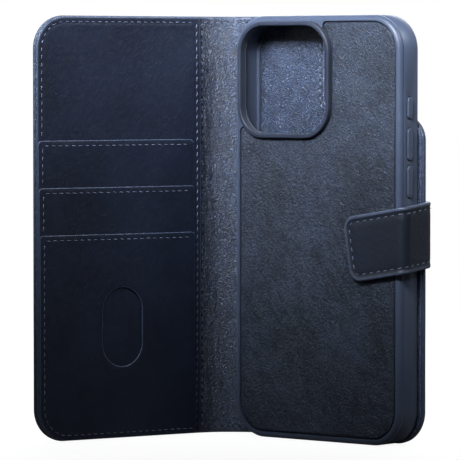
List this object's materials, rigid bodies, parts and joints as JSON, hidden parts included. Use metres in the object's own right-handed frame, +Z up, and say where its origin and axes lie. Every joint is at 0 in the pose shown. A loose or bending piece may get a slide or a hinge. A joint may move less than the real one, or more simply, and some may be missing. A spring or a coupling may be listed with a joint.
{
  "type": "phone wallet case",
  "caption": "Folio wallet case with card pockets, a banknote pocket and a closing strap, round a magnetic phone shell that lifts out.",
  "frame": {"origin": "middle of the outline that the open case stands in, on the surface it stands on", "axes": "+Z up along the height of the covers; +X along the rear cover from the spine to its outer edge; the rear cover's lining faces -Y"},
  "size_m": [0.1262, 0.0922, 0.166],
  "materials": {
    "cover_leather": "smooth navy leather with a fine grain",
    "lining_leather": "pebbled semi-gloss navy leather",
    "panel_leather": "smooth matte navy leather",
    "strap_leather": "smooth satin navy leather with painted edges",
    "inlay_leather": "fibrous waxed navy leather",
    "shell_plastic": "fine matte navy elastomer",
    "microfibre": "dark navy microfibre",
    "board": "plain grey fibre board",
    "magnet_metal": "nickel-plated"
  },
  "bodies": {
    "rear_cover": {"rear_cover_leather": "cover_leather", "rear_cover_board": "board", "rear_cover_lining": "lining_leather", "rear_cover_magnets": "magnet_metal", "strap_anchor": "strap_leather"},
    "spine": {"spine_leather": "cover_leather", "spine_lining": "lining_leather"},
    "front_cover": {"front_cover_leather": "cover_leather", "front_cover_board": "board", "front_cover_lining": "lining_leather", "clasp_keeper_plate": "magnet_metal", "banknote_pocket_panel": "panel_leather", "card_pocket_upper": "panel_leather", "card_pocket_middle": "panel_leather", "card_pocket_lower": "panel_leather"},
    "shell": {"shell_bumper": "shell_plastic", "shell_back_plate": "shell_plastic", "shell_leather_inlay": "inlay_leather", "shell_magnets": "magnet_metal", "shell_microfibre_lining": "microfibre", "camera_rim": "shell_plastic"},
    "action_button": {"action_button": "shell_plastic"},
    "volume_up_button": {"volume_up_button": "shell_plastic"},
    "volume_down_button": {"volume_down_button": "shell_plastic"},
    "power_button": {"power_button": "shell_plastic"},
    "strap_side": {"strap_side": "strap_leather"},
    "strap_tab": {"strap_tab_leather": "strap_leather", "strap_tab_lining": "strap_leather", "strap_magnet": "magnet_metal"}
  },
  "joints": [
    {"name": "rear_fold", "type": "hinge", "parent": "rear_cover", "child": "spine", "pos_m": [-0.02454, 0.04362, 0.083], "axis": [0, 0, 1], "range_deg": [-126.5, 53.5]},
    {"name": "front_fold", "type": "hinge", "parent": "spine", "child": "front_cover", "pos_m": [-0.03861, 0.03321, 0.083], "axis": [0, 0, 1], "range_deg": [-126.5, 53.5]},
    {"name": "shell_lift", "type": "slide", "parent": "rear_cover", "child": "shell", "axis": [0, 0, 1], "range_m": [0, 0.17]},
    {"name": "strap_wrap", "type": "hinge", "parent": "rear_cover", "child": "strap_side", "pos_m": [0.06206, 0.04512, 0.0815], "axis": [0, 0, 1], "range_deg": [0, 150]},
    {"name": "strap_tab_fold", "type": "hinge", "parent": "strap_side", "child": "strap_tab", "pos_m": [0.06206, 0.02791, 0.0796], "axis": [0, 0, 1], "range_deg": [0, 100]},
    {"name": "action_button_press", "type": "slide", "parent": "shell", "child": "action_button", "axis": [-1, 0, 0], "range_m": [0, 0.0004], "stiffness_N_per_m": 800},
    {"name": "volume_up_button_press", "type": "slide", "parent": "shell", "child": "volume_up_button", "axis": [-1, 0, 0], "range_m": [0, 0.0004], "stiffness_N_per_m": 800},
    {"name": "volume_down_button_press", "type": "slide", "parent": "shell", "child": "volume_down_button", "axis": [-1, 0, 0], "range_m": [0, 0.0004], "stiffness_N_per_m": 800},
    {"name": "power_button_press", "type": "slide", "parent": "shell", "child": "power_button", "axis": [1, 0, 0], "range_m": [0, 0.0004], "stiffness_N_per_m": 800}
  ]
}
